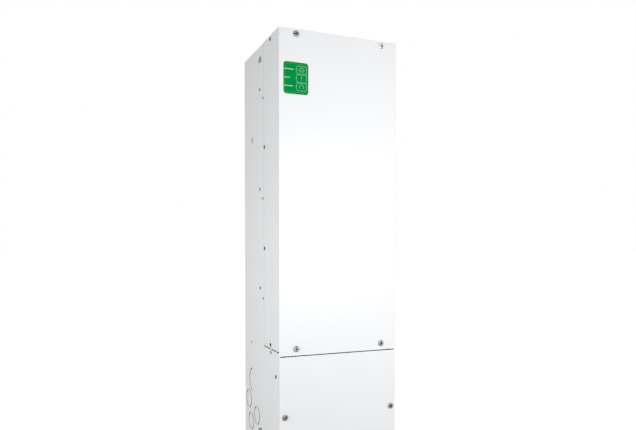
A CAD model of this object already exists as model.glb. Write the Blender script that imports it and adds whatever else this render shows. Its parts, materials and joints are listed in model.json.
"""Looks of a wall-hung charge controller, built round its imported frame.

Metres, +Z up, the front covers face -Y. Each sub-assembly is a class that models its pieces and hands
them to the CAD body that they ride on.
"""

import json
import logging
import math
from collections.abc import Callable, Iterable, Iterator, Sequence
from contextlib import contextmanager
from dataclasses import dataclass, replace
from enum import Enum
from functools import cache

import bmesh
import bpy
from bpy.types import Material, Node, NodeSocket, NodeTree, Object
from mathutils import Euler, Matrix, Vector

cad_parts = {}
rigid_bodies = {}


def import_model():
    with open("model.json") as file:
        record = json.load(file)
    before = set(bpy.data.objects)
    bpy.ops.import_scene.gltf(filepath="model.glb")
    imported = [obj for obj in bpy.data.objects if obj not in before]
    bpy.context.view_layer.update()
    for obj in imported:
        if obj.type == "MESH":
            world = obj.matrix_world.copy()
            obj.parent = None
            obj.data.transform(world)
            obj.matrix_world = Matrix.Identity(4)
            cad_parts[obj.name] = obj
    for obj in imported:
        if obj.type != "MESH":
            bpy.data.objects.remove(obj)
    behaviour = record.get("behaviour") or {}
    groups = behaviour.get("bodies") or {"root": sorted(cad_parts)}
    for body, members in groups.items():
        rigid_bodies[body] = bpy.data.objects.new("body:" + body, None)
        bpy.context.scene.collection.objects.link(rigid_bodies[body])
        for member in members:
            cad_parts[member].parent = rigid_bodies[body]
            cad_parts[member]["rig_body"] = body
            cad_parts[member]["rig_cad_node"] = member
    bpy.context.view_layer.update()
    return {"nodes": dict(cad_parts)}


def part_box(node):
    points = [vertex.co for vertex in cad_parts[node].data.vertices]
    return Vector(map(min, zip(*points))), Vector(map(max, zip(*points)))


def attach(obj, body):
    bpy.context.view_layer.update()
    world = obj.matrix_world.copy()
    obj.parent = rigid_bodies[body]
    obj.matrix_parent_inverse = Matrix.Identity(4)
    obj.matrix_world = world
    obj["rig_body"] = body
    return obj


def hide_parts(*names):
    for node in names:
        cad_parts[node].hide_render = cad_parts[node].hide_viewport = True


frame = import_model()

log = logging.getLogger("charge_controller")

Colour = tuple[float, float, float]
Point = Sequence[float]
Spots = list[tuple[float, float]]
Test = Callable[[Vector, Vector], bool]

SHEET = 0.0015
HAIR = 0.00005
ALONG = 0.9
SQUARE = 0.99
SIDES = {-1: "left", 1: "right"}


class Body(Enum):
    """The CAD bodies that a piece can ride on."""

    CHASSIS = "chassis"
    UPPER_COVER = "upper_cover"
    LOWER_COVER = "lower_cover"
    FAN_ROTOR = "fan_rotor"
    AUX_PLUG = "aux_plug"


class Facing(Enum):
    """Turns that carry a shape built up local +Z so that it faces a side of the case."""

    FRONT = (math.pi / 2, 0.0, 0.0)
    LEFT = (0.0, -math.pi / 2, 0.0)
    RIGHT = (0.0, math.pi / 2, 0.0)
    UP = (0.0, 0.0, 0.0)
    BACK = (-math.pi / 2, 0.0, 0.0)


class Grain(Enum):
    """The fine relief of a finish."""

    PEEL = "orange_peel"
    BRUSHED = "brushed"
    CAST = "cast"
    WEAVE = "weave"


# ---------------------------------------------------------------- node groups


def feed(node: Node, **inputs: object) -> Node:
    """Sets or links inputs of a node.

    Args:
        node: The node.
        inputs: A value or an output socket for each input, with _ for a space in its name.

    Returns:
        The node.
    """
    for label, value in inputs.items():
        socket = node.inputs[label.replace("_", " ")]
        if isinstance(value, NodeSocket):
            node.id_data.links.new(value, socket)
        else:
            socket.default_value = value
    return node


def add_node(tree: NodeTree, kind: str, **inputs: object) -> Node:
    """Adds a shader node of a kind and feeds its inputs."""
    return feed(tree.nodes.new("ShaderNode" + kind), **inputs)


def start_group(name: str, output: str, **inputs: float) -> NodeTree:
    """Starts a node group.

    Args:
        name: The group's name.
        output: The name of its one float output.
        inputs: Its float inputs with their default values.

    Returns:
        The new group with its input and output nodes.
    """
    tree = bpy.data.node_groups.new(name, "ShaderNodeTree")
    for label, value in inputs.items():
        socket = tree.interface.new_socket(label, in_out="INPUT", socket_type="NodeSocketFloat")
        socket.default_value = value
    tree.interface.new_socket(output, in_out="OUTPUT", socket_type="NodeSocketFloat")
    tree.nodes.new("NodeGroupInput")
    tree.nodes.new("NodeGroupOutput")
    return tree


def end_group(tree: NodeTree, value: NodeSocket) -> NodeTree:
    """Links a value to the group's output and returns the group."""
    tree.links.new(value, tree.nodes["Group Output"].inputs[0])
    return tree


def given(tree: NodeTree, label: str) -> NodeSocket:
    """The socket that brings one of the group's inputs in."""
    return tree.nodes["Group Input"].outputs[label]


def noise(tree: NodeTree, detail: float, stretch: Point = (1.0, 1.0, 1.0)) -> NodeSocket:
    """Noise on object coordinates, at the group's Scale.

    Args:
        tree: The group.
        detail: How many octaves.
        stretch: How the coordinates are scaled first.

    Returns:
        The socket with the noise.
    """
    place = add_node(tree, "TexCoord").outputs["Object"]
    stretched = add_node(tree, "Mapping", Vector=place, Scale=stretch).outputs["Vector"]
    texture = add_node(tree, "TexNoise", Vector=stretched, Scale=given(tree, "Scale"), Detail=detail)
    return texture.outputs["Fac"]


def spread(tree: NodeTree, value: NodeSocket, low: float, high: float) -> NodeSocket:
    """Maps a value from low..high to 0..1."""
    return add_node(tree, "MapRange", Value=value, From_Min=low, From_Max=high).outputs["Result"]


def multiply(tree: NodeTree, first: NodeSocket, second: NodeSocket) -> NodeSocket:
    """The product of two values.

    Args:
        tree: The tree that both are in.
        first: One value.
        second: The other.

    Returns:
        The socket with the product.
    """
    product = add_node(tree, "Math")
    product.operation = "MULTIPLY"
    tree.links.new(first, product.inputs[0])
    tree.links.new(second, product.inputs[1])
    return product.outputs["Value"]


@cache
def mottle() -> NodeTree:
    """Broad, soft patches: how thick a coat went on, or how a surface has aged."""
    tree = start_group("mottle", "Mask", Scale=12.0)
    return end_group(tree, spread(tree, noise(tree, 3.0), 0.3, 0.7))


@cache
def edge_wear() -> NodeTree:
    """Outer edges, broken up by noise, where a finish rubs thin."""
    tree = start_group("edge_wear", "Mask", Scale=90.0, Amount=0.3)
    edge = spread(tree, add_node(tree, "NewGeometry").outputs["Pointiness"], 0.52, 0.62)
    patches = spread(tree, noise(tree, 3.0), 0.40, 0.65)
    return end_group(tree, multiply(tree, multiply(tree, edge, patches), given(tree, "Amount")))


@cache
def relief(grain: Grain) -> NodeTree:
    """The fine relief of a finish.

    Args:
        grain: Which relief.

    Returns:
        A group with a Scale input and a Height output.
    """
    tree = start_group("relief_" + grain.value, "Height", Scale=600.0)
    stretch = (1.0, 1.0, 0.04) if grain is Grain.BRUSHED else (1.0, 1.0, 1.0)
    height = noise(tree, 4.0, stretch)
    if grain is Grain.PEEL:
        height = spread(tree, height, 0.35, 0.75)
    if grain is Grain.WEAVE:
        place = add_node(tree, "TexCoord").outputs["Object"]
        checks = add_node(tree, "TexChecker", Vector=place, Scale=given(tree, "Scale"))
        height = multiply(tree, checks.outputs["Fac"], height)
    return end_group(tree, height)


# ---------------------------------------------------------------- finishes


@dataclass(frozen=True)
class Finish:
    """One real finish: its colour, how it wanders, its gloss, relief and edge wear."""

    name: str
    colour: Colour
    roughness: float
    metallic: float = 0.0
    coat: float = 0.0
    specular: float = 0.5
    drift: float = 0.04
    drift_scale: float = 12.0
    grain: Grain = Grain.CAST
    grain_scale: float = 700.0
    grain_height: float = 0.00002
    wear: float = 0.0
    worn_colour: Colour = (0.6, 0.6, 0.6)
    glow: float = 0.0
    roughness_drift: float = 0.12

    @cache
    def material(self) -> Material:
        """The finish's material, built when it is first asked for.

        Returns:
            The material.
        """
        made = bpy.data.materials.new(self.name)
        made.use_nodes = True
        tree = made.node_tree
        patches = self.shared(tree, mottle(), Scale=self.drift_scale)
        darker = tuple(value * (1.0 - self.drift) for value in self.colour)
        lighter = tuple(min(1.0, value * (1.0 + self.drift)) for value in self.colour)
        colour = self.mixed(tree, patches, darker, lighter)
        if self.wear:
            worn = self.shared(tree, edge_wear(), Amount=self.wear)
            colour = self.mixed(tree, worn, colour, self.worn_colour)
        rough = add_node(
            tree,
            "MapRange",
            Value=patches,
            To_Min=self.roughness * (1.0 - self.roughness_drift),
            To_Max=min(1.0, self.roughness * (1.0 + self.roughness_drift)),
        )
        height = self.shared(tree, relief(self.grain), Scale=self.grain_scale)
        bump = add_node(tree, "Bump", Distance=self.grain_height, Height=height)
        shader = feed(
            tree.nodes["Principled BSDF"],
            Base_Color=colour,
            Roughness=rough.outputs["Result"],
            Normal=bump.outputs["Normal"],
            Metallic=self.metallic,
            Coat_Weight=self.coat,
            Specular_IOR_Level=self.specular,
        )
        if self.glow:
            feed(shader, Emission_Color=(*self.colour, 1.0), Emission_Strength=self.glow)
        return made

    @staticmethod
    def shared(tree: NodeTree, group: NodeTree, **inputs: float) -> NodeSocket:
        """Places a shared group in the material.

        Args:
            tree: The material's tree.
            group: The group.
            inputs: Its input values in this material.

        Returns:
            The group's output.
        """
        node = tree.nodes.new("ShaderNodeGroup")
        node.node_tree = group
        return feed(node, **inputs).outputs[0]

    @staticmethod
    def mixed(tree: NodeTree, mask: NodeSocket, first: Colour | NodeSocket, second: Colour) -> NodeSocket:
        """Mixes two colours by a mask.

        Args:
            tree: The material's tree.
            mask: How much of the second colour shows.
            first: The colour, or the socket that brings it, where the mask is 0.
            second: The colour where the mask is 1.

        Returns:
            The socket with the mixed colour.
        """
        mix = add_node(tree, "Mix")
        mix.data_type = "RGBA"
        feed(mix, Factor=mask)
        if isinstance(first, NodeSocket):
            tree.links.new(first, mix.inputs[6])
        else:
            mix.inputs[6].default_value = (*first, 1.0)
        mix.inputs[7].default_value = (*second, 1.0)
        return mix.outputs[2]


POWDER_COAT = Finish(
    "powder_coat", (0.84, 0.85, 0.86), 0.42, drift=0.012, drift_scale=5.0, grain=Grain.PEEL,
    grain_scale=520.0, grain_height=0.00003, wear=0.25, worn_colour=(0.90, 0.90, 0.90),
)
ZINC_SHEET = Finish(
    "zinc_sheet", (0.56, 0.57, 0.58), 0.38, metallic=1.0, drift=0.07, drift_scale=30.0,
    grain=Grain.BRUSHED, grain_scale=260.0, wear=0.5, worn_colour=(0.75, 0.75, 0.76),
)
EXTRUSION = Finish(
    "extrusion", (0.70, 0.71, 0.72), 0.36, metallic=1.0, drift=0.06, drift_scale=30.0,
    grain=Grain.BRUSHED, grain_scale=480.0, grain_height=0.00003, wear=0.4,
    worn_colour=(0.88, 0.88, 0.89),
)
RIVET_STEEL = Finish(
    "rivet_steel", (0.20, 0.20, 0.21), 0.42, metallic=1.0, drift=0.15, drift_scale=260.0,
    grain_scale=1600.0, grain_height=0.00001,
)
FAINT_RIVET = replace(
    RIVET_STEEL, name="faint_rivet", colour=(0.36, 0.36, 0.37), roughness=0.45, metallic=0.8, drift=0.12,
)
BRIGHT_SCREW = replace(
    RIVET_STEEL, name="bright_screw", colour=(0.86, 0.86, 0.87), roughness=0.50, metallic=0.6, drift=0.10,
)
PLATED_SCREW = replace(
    RIVET_STEEL, name="plated_screw", colour=(0.40, 0.40, 0.41), roughness=0.46, wear=0.6,
    worn_colour=(0.52, 0.52, 0.53),
)
RECESS = Finish("recess", (0.055, 0.055, 0.056), 0.6, drift=0.2, drift_scale=400.0)
SHEARED_EDGE = Finish("sheared_edge", (0.16, 0.16, 0.165), 0.6, drift=0.2, drift_scale=300.0)
PUNCHED_GREY = Finish("punched_grey", (0.30, 0.31, 0.32), 0.5, drift=0.08, drift_scale=200.0)
FILM_GREEN = Finish(
    "film_green", (0.0, 0.268, 0.058), 0.50, specular=0.0, drift=0.05, drift_scale=60.0,
    grain_scale=2600.0, grain_height=0.000006,
)
FILM_BORDER = replace(FILM_GREEN, name="film_border", colour=(0.0, 0.235, 0.0))
PRINT_PALE = Finish("print_pale", (0.18, 0.48, 0.28), 0.40, specular=0.1, drift=0.06, drift_scale=300.0)
PRINT_WHITE = replace(PRINT_PALE, name="print_white", colour=(0.56, 0.74, 0.60))
LENS = Finish("lens", (0.14, 0.50, 0.03), 0.30, coat=0.2, drift=0.06, drift_scale=400.0, glow=0.15)
SOLDER_MASK = Finish(
    "solder_mask", (0.010, 0.120, 0.050), 0.32, coat=0.3, drift=0.25, drift_scale=150.0,
    grain=Grain.WEAVE, grain_scale=900.0, grain_height=0.00003,
)
BLACK_MOULDING = Finish(
    "black_moulding", (0.028, 0.028, 0.030), 0.46, drift=0.15, drift_scale=70.0,
    grain_scale=1500.0, wear=0.25, worn_colour=(0.10, 0.10, 0.10),
)
FAN_MOULDING = replace(
    BLACK_MOULDING, name="fan_moulding", colour=(0.045, 0.046, 0.050), roughness=0.38, drift=0.12,
    drift_scale=60.0, wear=0.2, worn_colour=(0.12, 0.12, 0.12),
)
GREEN_MOULDING = replace(
    BLACK_MOULDING, name="green_moulding", colour=(0.030, 0.290, 0.090), roughness=0.45, drift=0.10,
    drift_scale=80.0, wear=0.3, worn_colour=(0.10, 0.42, 0.17),
)
CREAM_MOULDING = Finish("cream_moulding", (0.66, 0.62, 0.50), 0.5, drift=0.06, drift_scale=90.0)
ENAMELLED_WIRE = Finish(
    "enamelled_wire", (0.55, 0.20, 0.06), 0.25, metallic=0.85, coat=0.6, drift=0.18,
    drift_scale=160.0, grain_scale=1200.0,
)
BUS_COPPER = Finish(
    "bus_copper", (0.74, 0.38, 0.22), 0.32, metallic=1.0, drift=0.16, drift_scale=45.0,
    grain=Grain.BRUSHED, grain_scale=420.0, wear=0.5, worn_colour=(0.92, 0.62, 0.46),
)
TIN = Finish("tin", (0.66, 0.66, 0.66), 0.28, metallic=1.0, drift=0.10, drift_scale=220.0)
GOLD = Finish("gold", (0.83, 0.60, 0.22), 0.25, metallic=1.0, drift=0.06, drift_scale=220.0)
FERRITE = Finish(
    "ferrite", (0.060, 0.062, 0.066), 0.62, drift=0.2, drift_scale=220.0, grain_scale=1400.0,
    grain_height=0.00005, wear=0.3, worn_colour=(0.16, 0.16, 0.17),
)
TAPE = Finish("tape", (0.70, 0.48, 0.06), 0.40, drift=0.12, drift_scale=60.0, coat=0.2)
SLEEVE = Finish("sleeve", (0.020, 0.030, 0.075), 0.30, drift=0.12, drift_scale=50.0, coat=0.3)
FILM_BOX = Finish("film_box", (0.62, 0.10, 0.04), 0.38, drift=0.10, drift_scale=90.0)
FLOOR_WHITE = Finish("floor_white", (0.80, 0.80, 0.80), 0.9, drift=0.002, glow=0.80)


# ---------------------------------------------------------------- modelling bench


def towards(x: float, y: float, z: float, limit: float = ALONG) -> Test:
    """A test that picks the faces that look along a direction."""
    direction = Vector((x, y, z))
    return lambda middle, normal: normal.dot(direction) > limit


def every(middle: Vector, normal: Vector) -> bool:
    """A test that every face passes."""
    return True


UPWARD = towards(0, 0, 1)
DOWNWARD = towards(0, 0, -1)
FRONTWARD = towards(0, -1, 0)
REARWARD = towards(0, 1, 0)


def activate(obj: Object) -> None:
    """Makes one object the only selected and the active one."""
    bpy.ops.object.select_all(action="DESELECT")
    obj.select_set(True)
    bpy.context.view_layer.objects.active = obj


def settle(name: str) -> Object:
    """Names the new active object and moves its place into its mesh."""
    obj = bpy.context.object
    obj.name = name
    obj.data.name = name
    bpy.ops.object.transform_apply(location=True, rotation=True, scale=True)
    return obj


def block(name: str, low: Point, high: Point) -> Object:
    """A box between two corners, as a start for a piece."""
    low, high = Vector(low), Vector(high)
    bpy.ops.mesh.primitive_cube_add(size=1.0, location=(low + high) / 2, scale=high - low)
    return settle(name)


def upright(name: str, width: float, height: float, top: float, base: float = 0.0) -> Object:
    """A box about the Z axis, from its base up to its top."""
    return block(name, (-width / 2, -height / 2, base), (width / 2, height / 2, top))


def drum(
    name: str, radius: float, depth: float, centre: Point, facing: Facing = Facing.UP, sides: int = 32
) -> Object:
    """A cylinder, as a start for a piece.

    Args:
        name: Its name.
        radius: Its radius.
        depth: Its length.
        centre: Its centre.
        facing: Where its axis points.
        sides: How many sides it has.

    Returns:
        The cylinder.
    """
    bpy.ops.mesh.primitive_cylinder_add(
        vertices=sides, radius=radius, depth=depth, location=centre, rotation=facing.value
    )
    return settle(name)


@contextmanager
def editing(obj: Object, test: Test | None = None) -> Iterator[bmesh.types.BMesh]:
    """Edit mode on an object.

    Args:
        obj: The piece.
        test: Picks faces by their middle and normal; without it none is picked.

    Returns:
        The open mesh, for as long as the edit lasts.
    """
    activate(obj)
    bpy.ops.object.mode_set(mode="EDIT")
    bpy.ops.mesh.select_mode(type="FACE")
    bpy.ops.mesh.select_all(action="DESELECT")
    shape = bmesh.from_edit_mesh(obj.data)
    shape.normal_update()
    if test is not None:
        for face in shape.faces:
            face.select_set(test(face.calc_center_median(), face.normal))
        bmesh.update_edit_mesh(obj.data)
    yield shape
    bpy.ops.object.mode_set(mode="OBJECT")


def extrude(obj: Object, test: Test, move: Point) -> None:
    """Extrudes the picked faces by a move."""
    with editing(obj, test):
        bpy.ops.mesh.extrude_region_move(TRANSFORM_OT_translate={"value": move})


def shift(obj: Object, test: Test, move: Point) -> None:
    """Moves the picked faces."""
    with editing(obj, test):
        bpy.ops.transform.translate(value=move)


def inset(obj: Object, test: Test, thickness: float) -> None:
    """Insets the picked faces as one region."""
    with editing(obj, test):
        bpy.ops.mesh.inset(thickness=thickness, depth=0.0)


def sink_top(obj: Object, border: float, depth: float) -> None:
    """Sinks the middle of a flat top that lies across the Z axis, inside a border."""
    inset(obj, towards(0, 0, 1, SQUARE), border)
    extrude(obj, lambda middle, normal: normal.z > SQUARE and middle.xy.length < HAIR, (0, 0, -depth))


def remove_faces(obj: Object, test: Test) -> None:
    """Deletes the picked faces."""
    with editing(obj, test):
        bpy.ops.mesh.delete(type="FACE")


def slice_mesh(obj: Object, point: Point, normal: Point, test: Test = every) -> None:
    """Cuts new edges where a plane crosses the picked faces."""
    with editing(obj, test):
        bpy.ops.mesh.bisect(plane_co=point, plane_no=normal)


def sweep(stub: Object, along: Vector, centre: Point, axis: Point, turn: float, steps: int) -> Object:
    """Sweeps a stub's end about an axis and closes the seam.

    Args:
        stub: A thin box with one end on the start of the sweep.
        along: The direction that this end looks in.
        centre: A point on the axis.
        axis: The axis.
        turn: How far to sweep, in radians.
        steps: In how many steps.

    Returns:
        The swept piece.
    """
    with editing(stub, lambda middle, normal: normal.dot(along) > ALONG):
        bpy.ops.mesh.spin(steps=steps, angle=turn, center=centre, axis=axis)
    with editing(stub, every):
        bpy.ops.mesh.remove_doubles(threshold=0.000001)
        bpy.ops.mesh.normals_make_consistent(inside=False)
    return stub


def round_edges(
    obj: Object, along: Point, offset: float, segments: int, test: Test = every
) -> Object:
    """Bevels the edges that run along a direction.

    Args:
        obj: The piece.
        along: The direction of the edges.
        offset: The bevel's width.
        segments: How many steps round the bevel.
        test: Takes an edge's middle and direction, and says whether to bevel it.

    Returns:
        The piece.
    """
    direction = Vector(along)
    with editing(obj) as shape:
        bpy.ops.mesh.select_mode(type="EDGE")
        for edge in shape.edges:
            run = edge.verts[1].co - edge.verts[0].co
            middle = (edge.verts[0].co + edge.verts[1].co) / 2
            parallel = run.length > 1e-7 and abs(run.normalized().dot(direction)) > 0.999
            sharp = len(edge.link_faces) == 2 and edge.calc_face_angle(0.0) > 0.5
            if parallel and sharp and test(middle, run):
                edge.select_set(True)
        bmesh.update_edit_mesh(obj.data)
        bpy.ops.mesh.bevel(offset=offset, segments=segments, affect="EDGES", clamp_overlap=True)
    return obj


def modify(obj: Object, kind: str, **settings: object) -> None:
    """Adds a modifier with these settings and applies it.

    Args:
        obj: The piece.
        kind: The modifier's type.
        settings: Its settings.
    """
    made = obj.modifiers.new(kind.lower(), kind)
    for label, value in settings.items():
        setattr(made, label, value)
    activate(obj)
    bpy.ops.object.modifier_apply(modifier=made.name)


def shade(obj: Object, angle: float = 40.0) -> Object:
    """Shades a piece smooth, but for edges sharper than an angle in degrees."""
    activate(obj)
    bpy.ops.object.shade_smooth_by_angle(angle=math.radians(angle))
    return obj


def soften(obj: Object, width: float, segments: int = 2, angle: float = 35.0) -> Object:
    """Rounds every edge that is sharper than an angle, and shades the piece smooth."""
    limit = math.radians(angle)
    modify(obj, "BEVEL", width=width, segments=segments, limit_method="ANGLE", angle_limit=limit)
    return shade(obj)


def round_rim(obj: Object, width: float, segments: int) -> None:
    """Rounds the rims of a drum, and leaves the shading as it is."""
    modify(obj, "BEVEL", width=width, segments=segments, limit_method="ANGLE", angle_limit=1.0)


def carve(obj: Object, *cutters: Object) -> None:
    """Cuts shapes out of a piece and removes the cutters."""
    for cutter in cutters:
        modify(obj, "BOOLEAN", operation="DIFFERENCE", solver="EXACT", object=cutter)
        bpy.data.objects.remove(cutter)


def join(name: str, pieces: Sequence[Object]) -> Object:
    """Joins pieces into one object, keeping each one's material.

    Args:
        name: The joined piece's name.
        pieces: The pieces.

    Returns:
        The joined piece.
    """
    bpy.ops.object.select_all(action="DESELECT")
    for piece in pieces:
        piece.select_set(True)
    bpy.context.view_layer.objects.active = pieces[0]
    if len(pieces) > 1:
        bpy.ops.object.join()
    pieces[0].name = name
    pieces[0].data.name = name
    return pieces[0]


def middle_of(node: str) -> Vector:
    """The middle of a CAD node's box."""
    low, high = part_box(node)
    return (low + high) / 2


def copy_of(source: Object, name: str, place: Matrix) -> Object:
    """A copy with its own mesh, carried to its place.

    Args:
        source: The piece to copy.
        name: The copy's name.
        place: The move from the source's place.

    Returns:
        The copy.
    """
    made = source.copy()
    made.data = source.data.copy()
    made.name = name
    made.data.name = name
    made.data.transform(place)
    bpy.context.scene.collection.objects.link(made)
    return made


def repeat(source: Object, name: str, places: Iterable[Matrix]) -> Object:
    """Copies of a piece at each place, joined into one; the piece itself goes."""
    copies = [copy_of(source, name, place) for place in places]
    bpy.data.objects.remove(source)
    return join(name, copies)


def placed(seat: Point, facing: Facing, turn: float = 0.0) -> Matrix:
    """The move that stands a shape on a seat, facing out of it and turned about its axis."""
    out = Matrix.LocRotScale(Vector(seat), Euler(facing.value), None)
    return out @ Matrix.Rotation(math.radians(turn), 4, "Z")


def paint(obj: Object, finish: Finish, test: Test | None = None) -> Object:
    """Gives a piece a finish.

    Args:
        obj: The piece.
        finish: The finish.
        test: Picks the faces that get it; without it the whole piece does.

    Returns:
        The piece.
    """
    if test is None:
        obj.data.materials.clear()
    obj.data.materials.append(finish.material())
    for face in obj.data.polygons if test else ():
        if test(face.center, face.normal):
            face.material_index = len(obj.data.materials) - 1
    return obj


def hand_over(
    obj: Object, body: Body, finish: Finish | None = None, replaces: Sequence[str] = ()
) -> Object:
    """Finishes a piece and hands it to its body.

    Args:
        obj: The piece.
        body: The body it rides on.
        finish: Its finish, unless it is painted already.
        replaces: The nodes it stands for.

    Returns:
        The piece.
    """
    if finish is not None:
        paint(obj, finish)
    modify(obj, "WEIGHTED_NORMAL", keep_sharp=True)
    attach(obj, body.value)
    if replaces:
        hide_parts(*replaces)
    log.info("piece %s rides on %s", obj.name, body.value)
    return obj


def welded(node: str) -> Object:
    """A copy of a CAD node that is free of its body, with its faces merged.

    Args:
        node: The node's name.

    Returns:
        The copy.
    """
    made = copy_of(frame["nodes"][node], node + "_finished", Matrix.Identity(4))
    made.parent = None
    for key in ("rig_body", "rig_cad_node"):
        if key in made:
            del made[key]
    with editing(made, every):
        bpy.ops.mesh.remove_doubles(threshold=0.00001)
        bpy.ops.mesh.dissolve_limited(angle_limit=math.radians(1.0))
    return made


def refined(
    node: str, finish: Finish, width: float = 0.0003, body: Body = Body.CHASSIS
) -> Object:
    """A welded copy of a CAD node with its edges rounded, standing for that node."""
    return hand_over(soften(welded(node), width), body, finish, [node])


# ---------------------------------------------------------------- the case


@dataclass
class CaseShell:
    """The painted sheet-metal case: both covers, the chassis sides, back, top and base."""

    bend: float = 0.0013
    edge: float = 0.00025
    flange_rise: float = 0.0072
    hem: float = 0.0016
    hem_reach: float = 0.0055
    hem_margin: float = 0.0160
    return_width: float = 0.0135
    return_drop: float = 0.0030
    seam: float = 0.0025
    side_seam: float = 0.2186
    seam_straps: tuple[float, ...] = (0.0460, 0.0185)
    strap_half: float = 0.0011
    slot_width: float = 0.0022
    slot_span: float = 152.0
    slot_steps: int = 26
    knockouts: tuple[tuple[float, float, float, tuple[float, ...]], ...] = (
        (0.1550, 0.1440, 0.0221, (0.0,)),
        (0.1820, 0.1030, 0.0165, (0.0, 180.0)),
        (0.1297, 0.0826, 0.0161, (0.0, 180.0)),
        (0.1675, 0.0630, 0.0153, (0.0, 180.0)),
        (0.1050, 0.0480, 0.0167, (90.0, 270.0)),
    )

    def build(self) -> None:
        """Builds every painted panel."""
        self.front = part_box("upper_cover")[0].y
        self.step_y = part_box("upper_cover")[1].y + self.seam
        self.upper_cover()
        self.lower_cover()
        for side in SIDES:
            self.side_panel(side)
        for node in ("back_panel", "top_panel", "bottom_panel"):
            refined(node, POWDER_COAT, self.edge)

    def upper_cover(self) -> Object:
        """The front plate and its two side flanges, folded from one sheet.

        Returns:
            The cover.
        """
        low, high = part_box("upper_cover")
        trim_top = low.z + self.flange_rise
        cover = block("upper_cover_shell", low, high)
        remove_faces(cover, lambda middle, normal: normal.y > ALONG or abs(normal.z) > ALONG)
        round_edges(cover, (0, 0, 1), self.bend, 6)
        slice_mesh(cover, (0, 0, trim_top), (0, 0, 1), lambda middle, normal: abs(normal.x) > SQUARE)
        remove_faces(cover, lambda middle, normal: abs(normal.x) > SQUARE and middle.z < trim_top)
        modify(cover, "SOLIDIFY", thickness=SHEET, offset=-1.0, use_even_offset=True)
        soften(cover, self.edge, 2, 50.0)
        return hand_over(cover, Body.UPPER_COVER, POWDER_COAT, ["upper_cover"])

    def lower_cover(self) -> Object:
        """A flat plate with a hem folded back along its top and bottom edges.

        Returns:
            The cover.
        """
        low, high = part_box("lower_cover")
        plate = block("lower_cover_plate", low, high)
        for z in (low.z + self.hem, high.z - self.hem):
            slice_mesh(plate, (0, 0, z), (0, 0, 1))
        for x in (low.x + self.hem_margin, high.x - self.hem_margin):
            slice_mesh(plate, (x, 0, 0), (1, 0, 0))

        def on_hem(middle: Vector, normal: Vector) -> bool:
            """Whether a face of the plate's back lies where a hem starts."""
            outer = not low.z + self.hem < middle.z < high.z - self.hem
            return normal.y > ALONG and abs(middle.x) < high.x - self.hem_margin and outer

        extrude(plate, on_hem, (0, self.hem_reach, 0))
        soften(plate, self.edge * 1.6, 3)
        return hand_over(plate, Body.LOWER_COVER, POWDER_COAT, ["lower_cover"])

    def side_panel(self, side: int) -> Object:
        """One chassis side: full depth below the seam, and only behind the cover's flange above it.

        Args:
            side: -1 for the left side, 1 for the right.

        Returns:
            The panel with its front return and its knockouts.
        """
        name = SIDES[side] + "_side_panel"
        low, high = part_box(name)
        outer = side * max(abs(low.x), abs(high.x))
        left, right = sorted((outer, outer - side * SHEET))
        step_y = self.step_y
        panel = block(name + "_sheet", (left, low.y, low.z), (right, high.y, self.side_seam))
        slice_mesh(panel, (0, step_y, 0), (0, 1, 0))
        rise = high.z - self.side_seam
        extrude(panel, lambda middle, normal: normal.z > ALONG and middle.y > step_y, (0, 0, rise))

        return_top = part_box("lower_cover")[1].z - self.return_drop
        slice_mesh(panel, (0, low.y + SHEET, 0), (0, 1, 0))
        slice_mesh(panel, (0, 0, return_top), (0, 0, 1))

        def on_return(middle: Vector, normal: Vector) -> bool:
            """Whether a face of the inner side lies where the front return starts."""
            return normal.x * side < -ALONG and middle.y < low.y + SHEET and middle.z < return_top

        def on_bend(middle: Vector, run: Vector) -> bool:
            """Whether an edge is the outer front one."""
            return abs(middle.x - outer) < HAIR and middle.y < low.y + HAIR

        extrude(panel, on_return, (-side * self.return_width, 0, 0))
        round_edges(panel, (0, 0, 1), self.bend * 0.7, 4, on_bend)
        self.straps(panel)
        soften(panel, self.edge, 2, 50.0)
        return self.dress(panel, name, outer - side * SHEET / 2)

    def straps(self, panel: Object) -> None:
        """Small tabs of a side panel that bridge the seam under the cover's flange.

        Args:
            panel: The side panel.
        """
        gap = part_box("upper_cover")[0].z + self.flange_rise - HAIR - self.side_seam
        for depth in self.seam_straps:
            strap = self.front + depth
            for y in (strap - self.strap_half, strap + self.strap_half):
                slice_mesh(panel, (0, y, 0), (0, 1, 0))

            def on_strap(middle: Vector, normal: Vector) -> bool:
                """Whether a face of the seam's edge is the foot of this tab."""
                at_seam = abs(middle.z - self.side_seam) < HAIR
                return normal.z > ALONG and abs(middle.y - strap) < HAIR and at_seam

            extrude(panel, on_strap, (0, 0, gap))

    def dress(self, panel: Object, node: str, middle_x: float) -> Object:
        """Punches the knockouts of a side panel and paints it, with its sheared edges bare.

        Args:
            panel: The side panel.
            node: The node that it stands for.
            middle_x: The middle of its sheet.

        Returns:
            The panel.
        """
        rings = []
        for depth, height, radius, turns in self.knockouts:
            centre = Vector((middle_x, self.front + depth, height))
            rings.append((centre, radius))
            for turn in turns:
                carve(panel, self.knockout_slot(centre, radius, turn))

        def bare(middle: Vector, normal: Vector) -> bool:
            """Whether a face is a wall of a knockout or an edge along a seam."""
            near = (abs((middle - centre).yz.length - radius) for centre, radius in rings)
            in_slot = abs(normal.x) < 0.1 and any(gap < self.slot_width for gap in near)
            at_flange = normal.y < -0.6 and abs(middle.y - self.step_y) < self.edge * 2
            at_seam = normal.z > 0.6 and abs(middle.z - self.side_seam) < self.edge * 2
            return in_slot or at_flange or at_seam

        paint(shade(panel, 35.0), POWDER_COAT)
        paint(panel, SHEARED_EDGE, bare)
        return hand_over(panel, Body.CHASSIS, replaces=[node])

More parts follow.
